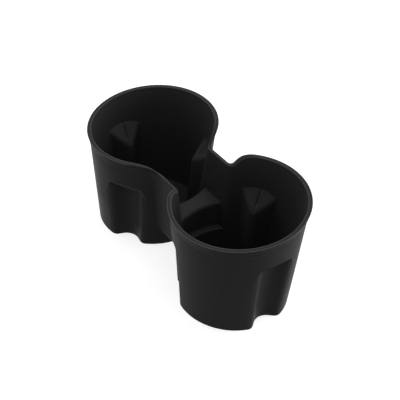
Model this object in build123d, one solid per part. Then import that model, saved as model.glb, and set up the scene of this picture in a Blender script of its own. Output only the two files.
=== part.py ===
from build123d import *
import math
import os

# Main sizes of the liner, in millimetres and degrees
cup_spacing = 100.8
base_radius = 38.6
wall_slope = 0.081
wall = 2.6
floor_thickness = 2.5
floor_corner = 2.4
base_edge = 0.5
rim_height = 78.8
rim_tilt = 6.3

# Flared lip
rim_radius = 46.2
rim_face = 2.7
lip_height = 6.6
lip_bead = 0.35
flare_height = 14.0

# Neck between the cups, and the bridge that divides them
neck_half_width = 14.2
neck_wall = 2.2
neck_corner = 7.0
neck_corner_low = 1.5
neck_underside = 17.0
ledge_height = 23.0
ledge_corner = 0.8
bridge_height = 40.0
bridge_setback = 2.0
bridge_round = 2.0

# Dip of the rim over the neck, as half widths of its trough
dip_depth = 7.65
dip_floor = 20.8
dip_lower_pull = 23.6
dip_upper_pull = 25.4
dip_crest = 36.0

# Three recesses in the wall of each cup
recess_spread = 120.0
recess_shoulder_half = 10.6
recess_shoulder_depth = 2.0
recess_flank = 39.5
recess_lead = 12.0
recess_valley_radius = 9.0
recess_shoulder_radius = 4.4
recess_ridge_radius = 4.5
recess_drop = 21.3
roof_slope = 1.1
roof_wall = 1.2
roof_flat_half = 12.0
roof_corner_slope = 1.3
roof_round = 3.0
roof_groove = 1.1

# Values that follow from the sizes above
cup_x = cup_spacing / 2
tall = 1.25 * rim_height
tilt_slope = math.tan(math.radians(rim_tilt))

# How close a corner or an edge lies to the place where it is looked for
match = 0.01


def tilted(height):
    """Plane parallel to the rim that crosses the middle axis at a height."""
    return Plane(origin=(0, 0, height), x_dir=(1, 0, 0), z_dir=(0, -tilt_slope, 1))


def outer_radius(height):
    """Radius of a cup's outer wall at a height."""
    return base_radius + wall_slope * height


def neck_inner(height):
    """Half width of the neck channel at a height."""
    return neck_half_width + wall_slope * height


def cone_pair(radius, low, high, corner):
    """Two tapered plugs, one per cup, given by their radius at height zero, with a rounded lower edge."""
    low_radius = radius + wall_slope * low
    high_radius = radius + wall_slope * high
    with BuildPart() as plugs:
        with BuildSketch(Plane.XZ) as profile:
            with BuildLine():
                Polyline((0, low), (low_radius, low), (high_radius, high), (0, high), close=True)
            make_face()
            edge = profile.vertices().sort_by(Axis.Y)[:2].sort_by(Axis.X)[-1]
            fillet(edge, corner)
        revolve(axis=Axis.Z)
    return [Pos(side * cup_x, 0, 0) * plugs.part for side in (-1, 1)]


def sharp_cones(radius, low, high):
    """Two tapered plugs with sharp edges, given by their radius at height zero."""
    plug = Cone(radius + wall_slope * low, radius + wall_slope * high, high - low)
    return [Pos(side * cup_x, 0, (low + high) / 2) * plug for side in (-1, 1)]


def twin_plan(plane, radius, half_width, corner):
    """Plan of both cups joined by the neck on a plane, with its four inward corners rounded."""
    with BuildSketch(plane) as plan:
        with Locations((-cup_x, 0), (cup_x, 0)):
            Circle(radius)
        Rectangle(cup_spacing, 2 * half_width)
        corners = [v for v in plan.vertices() if abs(v.X) < cup_x - wall]
        fillet(corners, corner)
    return plan.sketch


def wave_plan(height, offset, valley_round, shoulder_round):
    """Plan of one recess on the +X side of a cup at a height, moved towards the axis by the offset."""
    grow = outer_radius(height) / base_radius
    flank = math.tan(math.radians(recess_flank))
    lead = math.tan(math.radians(recess_lead))
    flank_drop = offset / math.cos(math.radians(recess_flank))
    lead_drop = offset / math.cos(math.radians(recess_lead))
    shoulder = grow * (base_radius - recess_shoulder_depth)
    apex = shoulder - flank * grow * recess_shoulder_half - flank_drop
    half = grow * recess_shoulder_half + (flank_drop - lead_drop) / (flank + lead)
    top = apex + flank * half
    reach = half + 0.7 * grow * recess_shoulder_half
    end = top - lead * (reach - half)
    far = 1.5 * grow * base_radius
    with BuildSketch() as plan:
        with BuildLine():
            Polyline((end, -reach), (top, -half), (apex, 0), (top, half), (end, reach),
                     (far, reach), (far, -reach), close=True)
        make_face()
        fillet(plan.vertices().sort_by(Axis.X)[0], grow * valley_round)
        shoulders = [v for v in plan.vertices() if abs(abs(v.Y) - half) < match]
        fillet(shoulders, grow * shoulder_round)
    return Pos(0, 0, height) * plan.sketch


def roof_plane(height, lift):
    """Plane of a recess's roof, which rises outward from a cup and meets its wall at a height."""
    pitch = math.atan(roof_slope)
    origin = (outer_radius(height), 0, height + lift)
    uphill = (math.cos(pitch), 0, math.sin(pitch))
    return Plane(origin=origin, x_dir=uphill, z_dir=(-math.sin(pitch), 0, math.cos(pitch)))


def recess_shape(wedge, height):
    """Wedge of a recess below its roof, whose two upper corners slope down."""
    reach = 2 * recess_shoulder_half
    drop = roof_corner_slope * (reach - roof_flat_half)
    with BuildPart() as below:
        with BuildSketch(Plane.YZ):
            with BuildLine():
                Polyline((-reach, -tall), (-reach, -drop), (-roof_flat_half, 0), (roof_flat_half, 0),
                         (reach, -drop), (reach, -tall), close=True)
            make_face()
        extrude(amount=tall, both=True)
    return wedge & (roof_plane(height, 0).location * below.part)


def bulge_shape(wedge, height):
    """Wedge of a bulge inside a cup below its roof, with rounded upper edges and a fine groove."""
    plane = roof_plane(height, roof_wall * math.sqrt(1 + roof_slope ** 2))
    below = Pos(0, 0, -tall) * Box(2 * tall, 2 * tall, 2 * tall)
    shape = wedge & (plane.location * below)
    crest = [e for e in shape.edges() if e.center().X < outer_radius(height)]
    crest = [e for e in crest if all(abs(plane.to_local_coords(e @ t).Z) < match for t in (0, 0.5, 1))]
    shape = fillet(crest, roof_round)
    return shape - plane.location * Rot(45, 0, 0) * Box(2 * tall, roof_groove, roof_groove)


def recesses(inside):
    """The three recesses of each cup, or the bulges that they make inside it."""
    offset = wall if inside else 0
    valley_round = recess_ridge_radius if inside else recess_valley_radius
    shoulder_round = recess_shoulder_radius - wall if inside else recess_shoulder_radius
    heights = (-floor_thickness, rim_height)
    wedge = loft([wave_plan(z, offset, valley_round, shoulder_round) for z in heights], ruled=True)
    found = []
    for side in (-1, 1):
        for turn in (-recess_spread, 0, recess_spread):
            angle = turn if side > 0 else 180 + turn
            height = rim_height - recess_drop
            height += tilt_slope * outer_radius(height) * math.sin(math.radians(angle))
            shape = bulge_shape(wedge, height) if inside else recess_shape(wedge, height)
            found.append(Pos(side * cup_x, 0, 0) * Rot(0, 0, angle) * shape)
    return found


def lip_beads(height):
    """Fine bead around each cup at the foot of the lip, which fades towards the neck."""
    fade = lip_bead / 2
    found = []
    for side in (-1, 1):
        rings = []
        for rise in (-lip_bead, 0, lip_bead):
            radius = outer_radius(height) + fade - 1.5 * abs(rise)
            rings.append(tilted(height + rise) * Pos(side * (cup_x + fade), 0, 0) * Circle(radius))
        found.append(loft(rings, ruled=True))
    return found


def outer_form():
    """Outside of the liner, taller than its rim over the lip."""
    feet = cone_pair(base_radius, 0, neck_underside, base_edge)
    low_radius = outer_radius(neck_underside)
    low_width = neck_inner(neck_underside) + neck_wall
    low = twin_plan(Plane.XY.offset(neck_underside), low_radius, low_width, neck_corner_low)
    top = rim_height - lip_height
    top_radius = outer_radius(top)
    top_width = neck_inner(top) + neck_wall
    high = twin_plan(tilted(top), top_radius, top_width, neck_corner)
    body = loft([low, high], ruled=True)
    flare = (rim_radius - top_radius) / lip_height
    above = lip_height + wall
    grow = flare * above
    crown = twin_plan(tilted(top + above), top_radius + grow, top_width + grow, neck_corner)
    lip = loft([high, crown], ruled=True)
    return body + feet + lip + lip_beads(top) - recesses(inside=False)


def inner_form():
    """Space inside the liner, down to the floors and to the ledge under the bridge."""
    radius = base_radius - wall
    wells = cone_pair(radius, floor_thickness, ledge_height, floor_corner)
    low_radius = radius + wall_slope * ledge_height
    low_width = neck_inner(ledge_height)
    ledge = twin_plan(Plane.XY.offset(ledge_height), low_radius, low_width, ledge_corner)
    start = rim_height - flare_height
    widen = rim_radius - rim_face - radius - wall_slope * rim_height
    sections = [ledge]
    for share in (0, 0.33, 0.67, 1, 1.15):
        grow = wall_slope * share * flare_height + widen * share ** 2
        plane = tilted(start + share * flare_height)
        sections.append(twin_plan(plane, radius + wall_slope * start + grow, neck_inner(start) + grow,
                                  neck_corner + wall))
    body = loft(sections, ruled=True)
    return body + wells - recesses(inside=True)


def bridge():
    """Block that divides the cups below the neck channel, with rounded upper edges."""
    low = (neck_underside + ledge_height) / 2
    sections = []
    for height in (low, rim_height):
        breadth = 2 * neck_inner(height) + wall
        sections.append(Plane.XY.offset(height) * Rectangle(cup_x, breadth))
    block = loft(sections, ruled=True)
    top = tilted(bridge_height)
    block = split(block, bisect_by=top, keep=Keep.BOTTOM)
    block -= sharp_cones(base_radius + bridge_setback, low - wall, tall)
    crests = [e for e in block.edges() if e.geom_type != GeomType.LINE]
    crests = [e for e in crests if abs(top.to_local_coords(e.center()).Z) < bridge_round / 4]
    return fillet(crests, bridge_round)


def pocket():
    """Space under the bridge, open below, that keeps the walls of the bridge even."""
    high = bridge_height + neck_half_width
    block = Pos(0, 0, high / 2) * Box(cup_x, 2 * neck_inner(neck_underside), high)
    block = split(block, bisect_by=tilted(bridge_height - wall), keep=Keep.BOTTOM)
    return block - sharp_cones(base_radius + bridge_setback + wall, -wall, tall)


def above_rim():
    """Everything above the rim, which dips over the neck in a trough with soft shoulders along X."""
    size = 2 * (cup_spacing + rim_radius)
    plane = tilted(rim_height)
    space = plane * Pos(0, 0, size / 2) * Box(size, size, size)
    with BuildPart() as trough:
        with BuildSketch(Plane(origin=plane.origin, x_dir=plane.y_dir, z_dir=(1, 0, 0))):
            with BuildLine():
                Line((-dip_floor, -dip_depth), (dip_floor, -dip_depth))
                Bezier((dip_floor, -dip_depth), (dip_lower_pull, -dip_depth),
                       (dip_upper_pull, 0), (dip_crest, 0))
                Polyline((dip_crest, 0), (dip_crest, dip_depth), (-dip_crest, dip_depth), (-dip_crest, 0))
                Bezier((-dip_crest, 0), (-dip_upper_pull, 0),
                       (-dip_lower_pull, -dip_depth), (-dip_floor, -dip_depth))
            make_face()
        extrude(amount=0.6 * cup_x, both=True)
    return space + trough.part


def liner():
    """The twin cup liner as one moulded solid."""
    shell = outer_form() - inner_form()
    shell = shell + bridge() - pocket()
    return shell - above_rim()


os.makedirs("parts", exist_ok=True)
body = liner()
export_step(body, "parts/cup_holder_liner.step")
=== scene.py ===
"""Studio scene of a black rubber cup holder liner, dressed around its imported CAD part."""

import logging
import math
from dataclasses import dataclass
from enum import Enum
from typing import Any

import bpy
import numpy as np
from mathutils import Matrix, Vector

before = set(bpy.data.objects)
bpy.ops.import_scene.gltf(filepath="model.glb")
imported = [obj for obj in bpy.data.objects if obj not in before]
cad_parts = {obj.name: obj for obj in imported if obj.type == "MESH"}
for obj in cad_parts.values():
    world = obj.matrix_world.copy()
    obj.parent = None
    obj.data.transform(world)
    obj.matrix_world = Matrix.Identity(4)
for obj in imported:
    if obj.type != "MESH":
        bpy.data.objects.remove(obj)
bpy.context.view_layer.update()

log = logging.getLogger("cup_holder_scene")

LINER_NODE = "cup_holder_liner"
MM = 0.001

# Distance of each cup's axis from the middle of the liner
CUP_MIDDLE_MM = 50.4

# Places of the colour sockets on a Mix node, where several sockets share a name
MIX_UNDER, MIX_OVER, MIX_RESULT = 6, 7, 2


class LampRole(Enum):
    """What each soft box in the studio is for."""

    LEFT = "left_soft_box"
    RIGHT = "right_soft_box"
    OVERHEAD = "overhead_soft_box"
    BACK = "back_soft_box"


def to_linear(colour: str) -> tuple[float, float, float, float]:
    """Turns a hex sRGB colour into linear light, by the curve of the sRGB standard.

    Args:
        colour: Six hex digits after a hash sign.

    Returns:
        Linear red, green and blue, and an alpha of one.
    """
    parts = np.array([int(colour[i:i + 2], 16) for i in (1, 3, 5)]) / 255.0
    light = np.where(parts <= 0.04045, parts / 12.92, ((parts + 0.055) / 1.055) ** 2.4)
    return float(light[0]), float(light[1]), float(light[2]), 1.0


def direction(azimuth: float, elevation: float) -> Vector:
    """Points from the liner towards a viewer.

    Args:
        azimuth: Degrees round the liner, with zero on its -Y side.
        elevation: Degrees above the floor.

    Returns:
        A unit vector.
    """
    turn, lift = math.radians(azimuth), math.radians(elevation)
    flat = math.cos(lift)
    return Vector((math.sin(turn) * flat, -math.cos(turn) * flat, math.sin(lift)))


def blank_material(name: str) -> tuple[bpy.types.Material, bpy.types.NodeTree]:
    """Makes a material with no nodes in it.

    Args:
        name: Name of the material.

    Returns:
        The material and its empty node tree.
    """
    material = bpy.data.materials.new(name)
    material.use_nodes = True
    material.node_tree.nodes.clear()
    return material, material.node_tree


def add_node(tree: bpy.types.NodeTree, kind: str, settings: dict[str, Any] | None = None,
             inputs: dict[str | int, Any] | None = None) -> bpy.types.Node:
    """Adds a shader node, sets its options and fills or links its inputs.

    Args:
        tree: Node tree that gets the node.
        kind: Blender's name for the type of node.
        settings: Options of the node by attribute name.
        inputs: Values or output sockets by input name, or by place where inputs share a name.

    Returns:
        The new node.
    """
    node = tree.nodes.new(kind)
    for name, value in (settings or {}).items():
        setattr(node, name, value)
    for name, value in (inputs or {}).items():
        if isinstance(value, bpy.types.NodeSocket):
            tree.links.new(value, node.inputs[name])
        else:
            node.inputs[name].default_value = value
    return node


def calculate(tree: bpy.types.NodeTree, operation: str, *values: Any) -> bpy.types.NodeSocket:
    """Adds a Math node.

    Args:
        tree: Node tree that gets the node.
        operation: Blender's name for what the node does.
        values: Numbers or output sockets, in the node's order.

    Returns:
        A socket that gives the answer.
    """
    node = add_node(tree, "ShaderNodeMath", {"operation": operation}, dict(enumerate(values)))
    return node.outputs["Value"]


def spread(tree: bpy.types.NodeTree, value: bpy.types.NodeSocket, start: float, end: float,
           first: Any = 0.0, last: Any = 1.0) -> bpy.types.NodeSocket:
    """Adds a Map Range node, which goes evenly from one result to another and holds beyond them.

    Args:
        tree: Node tree that gets the node.
        value: Socket that is read.
        start: Value that gives the first result.
        end: Value that gives the last result.
        first: First result, a number or a socket.
        last: Last result, a number or a socket.

    Returns:
        A socket that gives the result.
    """
    node = add_node(tree, "ShaderNodeMapRange", None,
                    {"Value": value, "From Min": start, "From Max": end,
                     "To Min": first, "To Max": last})
    return node.outputs["Result"]


def tint(tree: bpy.types.NodeTree, share: bpy.types.NodeSocket, under: bpy.types.NodeSocket,
         over: str) -> bpy.types.NodeSocket:
    """Lays one colour over another.

    Args:
        tree: Node tree that gets the node.
        share: Socket that says how much of the upper colour shows.
        under: Socket of the lower colour.
        over: Upper colour in hex sRGB.

    Returns:
        A socket that gives the mixed colour.
    """
    node = add_node(tree, "ShaderNodeMix", {"data_type": "RGBA"},
                    {"Factor": share, MIX_UNDER: under, MIX_OVER: to_linear(over)})
    return node.outputs[MIX_RESULT]


def seen_rays(tree: bpy.types.NodeTree) -> bpy.types.NodeSocket:
    """Adds up the rays that show a background: those from the camera, from gloss and through glass.

    Args:
        tree: Node tree that gets the nodes.

    Returns:
        A socket that is one for those rays and zero for the rest.
    """
    path = add_node(tree, "ShaderNodeLightPath").outputs
    both = calculate(tree, "MAXIMUM", path["Is Camera Ray"], path["Is Glossy Ray"])
    return calculate(tree, "MAXIMUM", both, path["Is Transmission Ray"])


@dataclass(frozen=True)
class LinerPlace:
    """Sockets that say where a point lies on the liner, in metres.

    Attributes:
        spot: Object coordinates.
        along: Distance along X from the middle of the liner, always positive.
        across: Y.
        height: Z.
        reach: Distance in plan from the axis of the nearer cup.
        upward: How far the surface faces up, from minus one to one.
    """

    spot: bpy.types.NodeSocket
    along: bpy.types.NodeSocket
    across: bpy.types.NodeSocket
    height: bpy.types.NodeSocket
    reach: bpy.types.NodeSocket
    upward: bpy.types.NodeSocket

    @classmethod
    def in_tree(cls, tree: bpy.types.NodeTree) -> "LinerPlace":
        """Adds the nodes that give the place.

        Args:
            tree: Node tree that gets the nodes.

        Returns:
            The sockets.
        """
        source = add_node(tree, "ShaderNodeTexCoord").outputs
        spot = add_node(tree, "ShaderNodeSeparateXYZ", None, {"Vector": source["Object"]}).outputs
        facing = add_node(tree, "ShaderNodeSeparateXYZ", None, {"Vector": source["Normal"]}).outputs
        along = calculate(tree, "ABSOLUTE", spot["X"])
        from_cup = calculate(tree, "SUBTRACT", along, CUP_MIDDLE_MM * MM)
        plan = add_node(tree, "ShaderNodeCombineXYZ", None, {"X": from_cup, "Y": spot["Y"]})
        reach = add_node(tree, "ShaderNodeVectorMath", {"operation": "LENGTH"},
                         {0: plan.outputs["Vector"]})
        return cls(source["Object"], along, spot["Y"], spot["Z"], reach.outputs["Value"],
                   facing["Z"])


@dataclass(frozen=True)
class PaintedLipShade:
    """Painted shade on the outside of the lip, a strip painted a little darker than the walls, in
    millimetres.
    """

    colour: str = "#181818"
    foot_mm: float = 72.2
    reach_mm: float = 44.4
    fade_mm: float = 0.3
    rim_slope: float = 0.1104
    upright: float = 0.2
    level: float = 0.5
    share_on_top: float = 0.4

    def share(self, tree: bpy.types.NodeTree, place: LinerPlace) -> bpy.types.NodeSocket:
        """Finds where the shade is painted: above the lip's foot, and farther from the cup's axis
        than the inside.

        The height is z less the rim's slope times y, since the rim slopes across the liner. Faces
        that look up, such as the top of the rim, get only a share of the painted shade, since they
        catch more light.

        Args:
            tree: Node tree that gets the nodes.
            place: Where the point lies.

        Returns:
            A socket that is one where the shade is painted and zero away from it.
        """
        height = calculate(tree, "MULTIPLY_ADD", place.across, -self.rim_slope, place.height)
        above = spread(tree, height, (self.foot_mm - self.fade_mm) * MM,
                       (self.foot_mm + self.fade_mm) * MM)
        beyond = spread(tree, place.reach, (self.reach_mm - self.fade_mm) * MM,
                        (self.reach_mm + self.fade_mm) * MM)
        standing = spread(tree, place.upward, self.upright, self.level, 1.0, self.share_on_top)
        return calculate(tree, "MULTIPLY", calculate(tree, "MULTIPLY", above, beyond), standing)


@dataclass(frozen=True)
class PaintedEdgeHighlights:
    """Painted highlight: outer edges painted paler where they would catch the light, while the
    hollows beside them stay unpainted.
    """

    colour: str = "#4a4a4c"
    reach_mm: float = 0.5
    sharp: float = 0.75
    blunt: float = 0.975
    hollow_deep: float = 0.55
    hollow_shallow: float = 0.82
    samples: int = 12

    def share(self, tree: bpy.types.NodeTree) -> bpy.types.NodeSocket:
        """Finds the edges: places with little rubber behind them and open air before them.

        Args:
            tree: Node tree that gets the nodes.

        Returns:
            A socket that is one on a sharp outer edge and zero away from it.
        """
        look = {"samples": self.samples, "only_local": True}
        reach = {"Distance": self.reach_mm * MM}
        rubber = add_node(tree, "ShaderNodeAmbientOcclusion", look | {"inside": True}, reach)
        thin = spread(tree, rubber.outputs["AO"], self.sharp, self.blunt, 1.0, 0.0)
        air = add_node(tree, "ShaderNodeAmbientOcclusion", look, reach)
        bare = spread(tree, air.outputs["AO"], self.hollow_deep, self.hollow_shallow)
        return calculate(tree, "MULTIPLY", thin, bare)


@dataclass(frozen=True)
class RoundedEdges:
    """Edges that the tool rounds: finely all over, more outside the neck and on the bulges."""

    fine_mm: float = 0.3
    neck_mm: float = 1.8
    neck_half_length_mm: float = 24.0
    neck_fade_mm: float = 2.0
    neck_middle_mm: float = 15.3
    bulge_mm: float = 4.5
    bulge_reach_mm: float = 35.4
    bulge_fade_mm: float = 1.0
    wall_slope: float = 0.081
    samples: int = 8

    def normal(self, tree: bpy.types.NodeTree, place: LinerPlace) -> bpy.types.NodeSocket:
        """Works out which way the rounded surface faces.

        The outside of the neck is where x is near the middle and y, less the wall's slope times z,
        lies past the middle of the neck's wall. The bulges are where the distance from the cup's
        axis, less the wall's slope times z, falls short of the cup's inside.

        Args:
            tree: Node tree that gets the nodes.
            place: Where the point lies.

        Returns:
            A socket that gives the direction.
        """
        across = calculate(tree, "ABSOLUTE", place.across)
        from_base = calculate(tree, "MULTIPLY_ADD", place.height, -self.wall_slope, across)
        outside = calculate(tree, "GREATER_THAN", from_base, self.neck_middle_mm * MM)
        neck = spread(tree, place.along, (self.neck_half_length_mm - self.neck_fade_mm) * MM,
                      self.neck_half_length_mm * MM, self.neck_mm * MM, self.fine_mm * MM)
        wall = spread(tree, outside, 0.0, 1.0, self.fine_mm * MM, neck)
        inward = calculate(tree, "MULTIPLY_ADD", place.height, -self.wall_slope, place.reach)
        radius = spread(tree, inward, (self.bulge_reach_mm - self.bulge_fade_mm) * MM,
                        self.bulge_reach_mm * MM, self.bulge_mm * MM, wall)
        bevel = add_node(tree, "ShaderNodeBevel", {"samples": self.samples}, {"Radius": radius})
        return bevel.outputs["Normal"]


@dataclass(frozen=True)
class MouldedRubber:
    """Soft black rubber from a spark-eroded tool, so it is dull with a very fine grain."""

    name: str = "moulded_black_rubber"
    dark: str = "#272727"
    pale: str = "#2b2b2c"
    cloud_mm: float = 22.0
    cloud_detail: float = 3.0
    cloud_roughness: float = 0.5
    cloud_low: float = 0.3
    cloud_high: float = 0.7
    grain_mm: float = 0.45
    grain_detail: float = 2.0
    grain_roughness: float = 0.6
    grain_depth_mm: float = 0.012
    roughness_low: float = 0.46
    roughness_high: float = 0.56
    specular: float = 0.05
    # Painted shade on the outside of the lip
    lip_shade: PaintedLipShade = PaintedLipShade()
    # Painted highlight along the outer edges
    edge_highlight: PaintedEdgeHighlights = PaintedEdgeHighlights()
    rounded: RoundedEdges = RoundedEdges()

    def material(self) -> bpy.types.Material:
        """Builds the material.

        Returns:
            A material whose colour, gloss and relief come from noise and place in object space.
        """
        material, tree = blank_material(self.name)
        place = LinerPlace.in_tree(tree)
        # Uneven cooling leaves broad clouds that are only just paler and duller
        clouds = add_node(tree, "ShaderNodeTexNoise", None,
                          {"Vector": place.spot, "Scale": 1.0 / (self.cloud_mm * MM),
                           "Detail": self.cloud_detail, "Roughness": self.cloud_roughness})
        colour = add_node(tree, "ShaderNodeValToRGB", None, {"Fac": clouds.outputs["Fac"]})
        colour.color_ramp.elements[0].color = to_linear(self.dark)
        colour.color_ramp.elements[1].color = to_linear(self.pale)
        gloss = spread(tree, clouds.outputs["Fac"], self.cloud_low, self.cloud_high,
                       self.roughness_low, self.roughness_high)
        # Painted shade darkens the outside of the lip, and a painted highlight draws a thin pale
        # line along each outer edge
        lip_shaded = tint(tree, self.lip_shade.share(tree, place), colour.outputs["Color"], self.lip_shade.colour)
        edge_lit = tint(tree, self.edge_highlight.share(tree), lip_shaded, self.edge_highlight.colour)
        # The eroded tool prints a fine grain that breaks up the shine
        grain = add_node(tree, "ShaderNodeTexNoise", None,
                         {"Vector": place.spot, "Scale": 1.0 / (self.grain_mm * MM),
                          "Detail": self.grain_detail, "Roughness": self.grain_roughness})
        relief = add_node(tree, "ShaderNodeBump", None,
                          {"Height": grain.outputs["Fac"], "Distance": self.grain_depth_mm * MM,
                           "Strength": 1.0, "Normal": self.rounded.normal(tree, place)})
        shader = add_node(tree, "ShaderNodeBsdfPrincipled", None,
                          {"Base Color": edge_lit, "Roughness": gloss,
                           "Normal": relief.outputs["Normal"],
                           "Specular IOR Level": self.specular})
        add_node(tree, "ShaderNodeOutputMaterial", None, {"Surface": shader.outputs["BSDF"]})
        return material


@dataclass(frozen=True)
class PaleFloorPaint:
    """Matt paint that photographs as plain white and still takes a soft shadow."""

    name: str = "pale_floor_paint"
    colour: str = "#5c5c5c"
    seen_colour: str = "#b4b4b4"
    seen_glow: float = 0.755

    def material(self) -> bpy.types.Material:
        """Builds the paint.

        Returns:
            A material that is plain matt paint to the light, and paler to the eye and to gloss.
        """
        material, tree = blank_material(self.name)
        paint = add_node(tree, "ShaderNodeBsdfDiffuse", None, {"Color": to_linear(self.colour)})
        pale = add_node(tree, "ShaderNodeBsdfDiffuse", None, {"Color": to_linear(self.seen_colour)})
        glow = add_node(tree, "ShaderNodeEmission", None, {"Strength": self.seen_glow})
        seen = add_node(tree, "ShaderNodeAddShader", None,
                        {0: pale.outputs["BSDF"], 1: glow.outputs["Emission"]})
        choice = add_node(tree, "ShaderNodeMixShader", None,
                          {0: seen_rays(tree), 1: paint.outputs["BSDF"], 2: seen.outputs["Shader"]})
        add_node(tree, "ShaderNodeOutputMaterial", None, {"Surface": choice.outputs["Shader"]})
        return material


@dataclass
class Liner:
    """The moulded liner: the CAD part itself, dressed in rubber."""

    finish: MouldedRubber = MouldedRubber()

    def dress(self) -> bpy.types.Object:
        """Puts the rubber on the CAD part.

        Returns:
            The CAD part.
        """
        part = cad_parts[LINER_NODE]
        part.data.materials.clear()
        part.data.materials.append(self.finish.material())
        return part


@dataclass
class Floor:
    """The studio floor, a flat square sheet at the height of the cups' bases, in metres."""

    half_width: float = 8.0
    divisions: int = 8
    paint: PaleFloorPaint = PaleFloorPaint()

    def surface(self) -> tuple[np.ndarray, np.ndarray]:
        """Works out the sheet: x and y run evenly from edge to edge on a grid, and z is zero.

        Returns:
            Corner points and the four corners of each square.
        """
        line = np.linspace(-self.half_width, self.half_width, self.divisions + 1)
        across, along = np.meshgrid(line, line, indexing="ij")
        points = np.stack([across, along, np.zeros_like(across)], axis=-1).reshape(-1, 3)
        number = np.arange(points.shape[0]).reshape(across.shape)
        corners = np.stack([number[:-1, :-1], number[1:, :-1], number[1:, 1:], number[:-1, 1:]],
                           axis=-1)
        return points, corners.reshape(-1, 4)

    def build(self) -> bpy.types.Object:
        """Makes the floor.

        Returns:
            The floor object.
        """
        points, corners = self.surface()
        mesh = bpy.data.meshes.new("studio_floor")
        mesh.from_pydata(points.tolist(), [], corners.tolist())
        mesh.materials.append(self.paint.material())
        floor = bpy.data.objects.new("studio_floor", mesh)
        bpy.context.scene.collection.objects.link(floor)
        return floor


@dataclass
class SoftBox:
    """A square lamp behind cloth, aimed at the liner, with its lengths in metres."""

    role: LampRole
    azimuth: float
    elevation: float
    power: float
    distance: float = 1.2
    width: float = 0.8
    target: tuple[float, float, float] = (0.0, 0.0, 0.04)

    def build(self) -> bpy.types.Object:
        """Hangs the lamp.

        Returns:
            The lamp object.
        """
        lamp = bpy.data.lights.new(self.role.value, "AREA")
        lamp.shape = "SQUARE"
        lamp.size = self.width
        lamp.energy = self.power
        box = bpy.data.objects.new(self.role.value, lamp)
        back = direction(self.azimuth, self.elevation)
        hook = Matrix.Translation(Vector(self.target) + self.distance * back)
        box.matrix_world = hook @ back.to_track_quat("Z", "Y").to_matrix().to_4x4()
        bpy.context.scene.collection.objects.link(box)
        return box


@dataclass
class Studio:
    """White surroundings and soft boxes."""

    sky_colour: str = "#ffffff"
    sky_light: float = 0.53
    sky_seen: float = 1.0

    def surroundings(self) -> bpy.types.World:
        """Makes the world, which the eye and gloss see as white and which lights at a plain level.

        Returns:
            The world.
        """
        world = bpy.data.worlds.new("white_studio")
        world.use_nodes = True
        tree = world.node_tree
        tree.nodes.clear()
        strength = spread(tree, seen_rays(tree), 0.0, 1.0, self.sky_light, self.sky_seen)
        sky = add_node(tree, "ShaderNodeBackground", None,
                       {"Color": to_linear(self.sky_colour), "Strength": strength})
        add_node(tree, "ShaderNodeOutputWorld", None, {"Surface": sky.outputs["Background"]})
        bpy.context.scene.world = world
        return world

    def lamps(self) -> list[bpy.types.Object]:
        """Hangs the soft boxes.

        Returns:
            The lamp objects.
        """
        boxes = [
            SoftBox(LampRole.LEFT, azimuth=-63.0, elevation=33.0, power=3.2),
            SoftBox(LampRole.RIGHT, azimuth=155.0, elevation=28.0, power=9.0),
            SoftBox(LampRole.OVERHEAD, azimuth=50.0, elevation=85.0, power=2.6),
            SoftBox(LampRole.BACK, azimuth=232.0, elevation=45.0, power=2.9),
        ]
        return [box.build() for box in boxes]


@dataclass
class PhotoCamera:
    """A long lens that looks down on the liner from one corner, a little rolled.

    Angles are in degrees, and lengths in metres apart from the lens and its sensor.
    """

    azimuth: float = 52.736
    elevation: float = 38.91
    distance: float = 0.645413
    roll: float = 3.248
    target: tuple[float, float, float] = (0.001805, 0.005499, 0.043282)
    lens_mm: float = 83.94
    sensor_mm: float = 36.0
    nearest: float = 0.01
    farthest: float = 20.0

    def build(self) -> bpy.types.Object:
        """Sets the camera up: its back axis points at the viewer, and the roll turns the others.

        Returns:
            The camera object.
        """
        data = bpy.data.cameras.new("photo_camera")
        data.sensor_fit = "HORIZONTAL"
        data.sensor_width = self.sensor_mm
        data.lens = self.lens_mm
        data.clip_start = self.nearest
        data.clip_end = self.farthest
        camera = bpy.data.objects.new("photo_camera", data)
        turn, roll = math.radians(self.azimuth), math.radians(self.roll)
        back = direction(self.azimuth, self.elevation)
        level = Vector((math.cos(turn), math.sin(turn), 0.0))
        rise = back.cross(level)
        right = math.cos(roll) * level + math.sin(roll) * rise
        up = math.cos(roll) * rise - math.sin(roll) * level
        eye = Vector(self.target) + self.distance * back
        axes = Matrix((right, up, back)).transposed().to_4x4()
        camera.matrix_world = Matrix.Translation(eye) @ axes
        bpy.context.scene.collection.objects.link(camera)
        bpy.context.scene.camera = camera
        return camera


def main() -> None:
    """Builds the scene in order and reports each piece."""
    logging.basicConfig(level=logging.INFO, format="%(message)s")
    bpy.context.scene.view_settings.view_transform = "Standard"
    log.info("dressed %s", Liner().dress().name)
    log.info("built %s", Floor().build().name)
    studio = Studio()
    log.info("built %s", studio.surroundings().name)
    for lamp in studio.lamps():
        log.info("hung %s", lamp.name)
    log.info("set up %s", PhotoCamera().build().name)


if __name__ == "__main__":
    main()
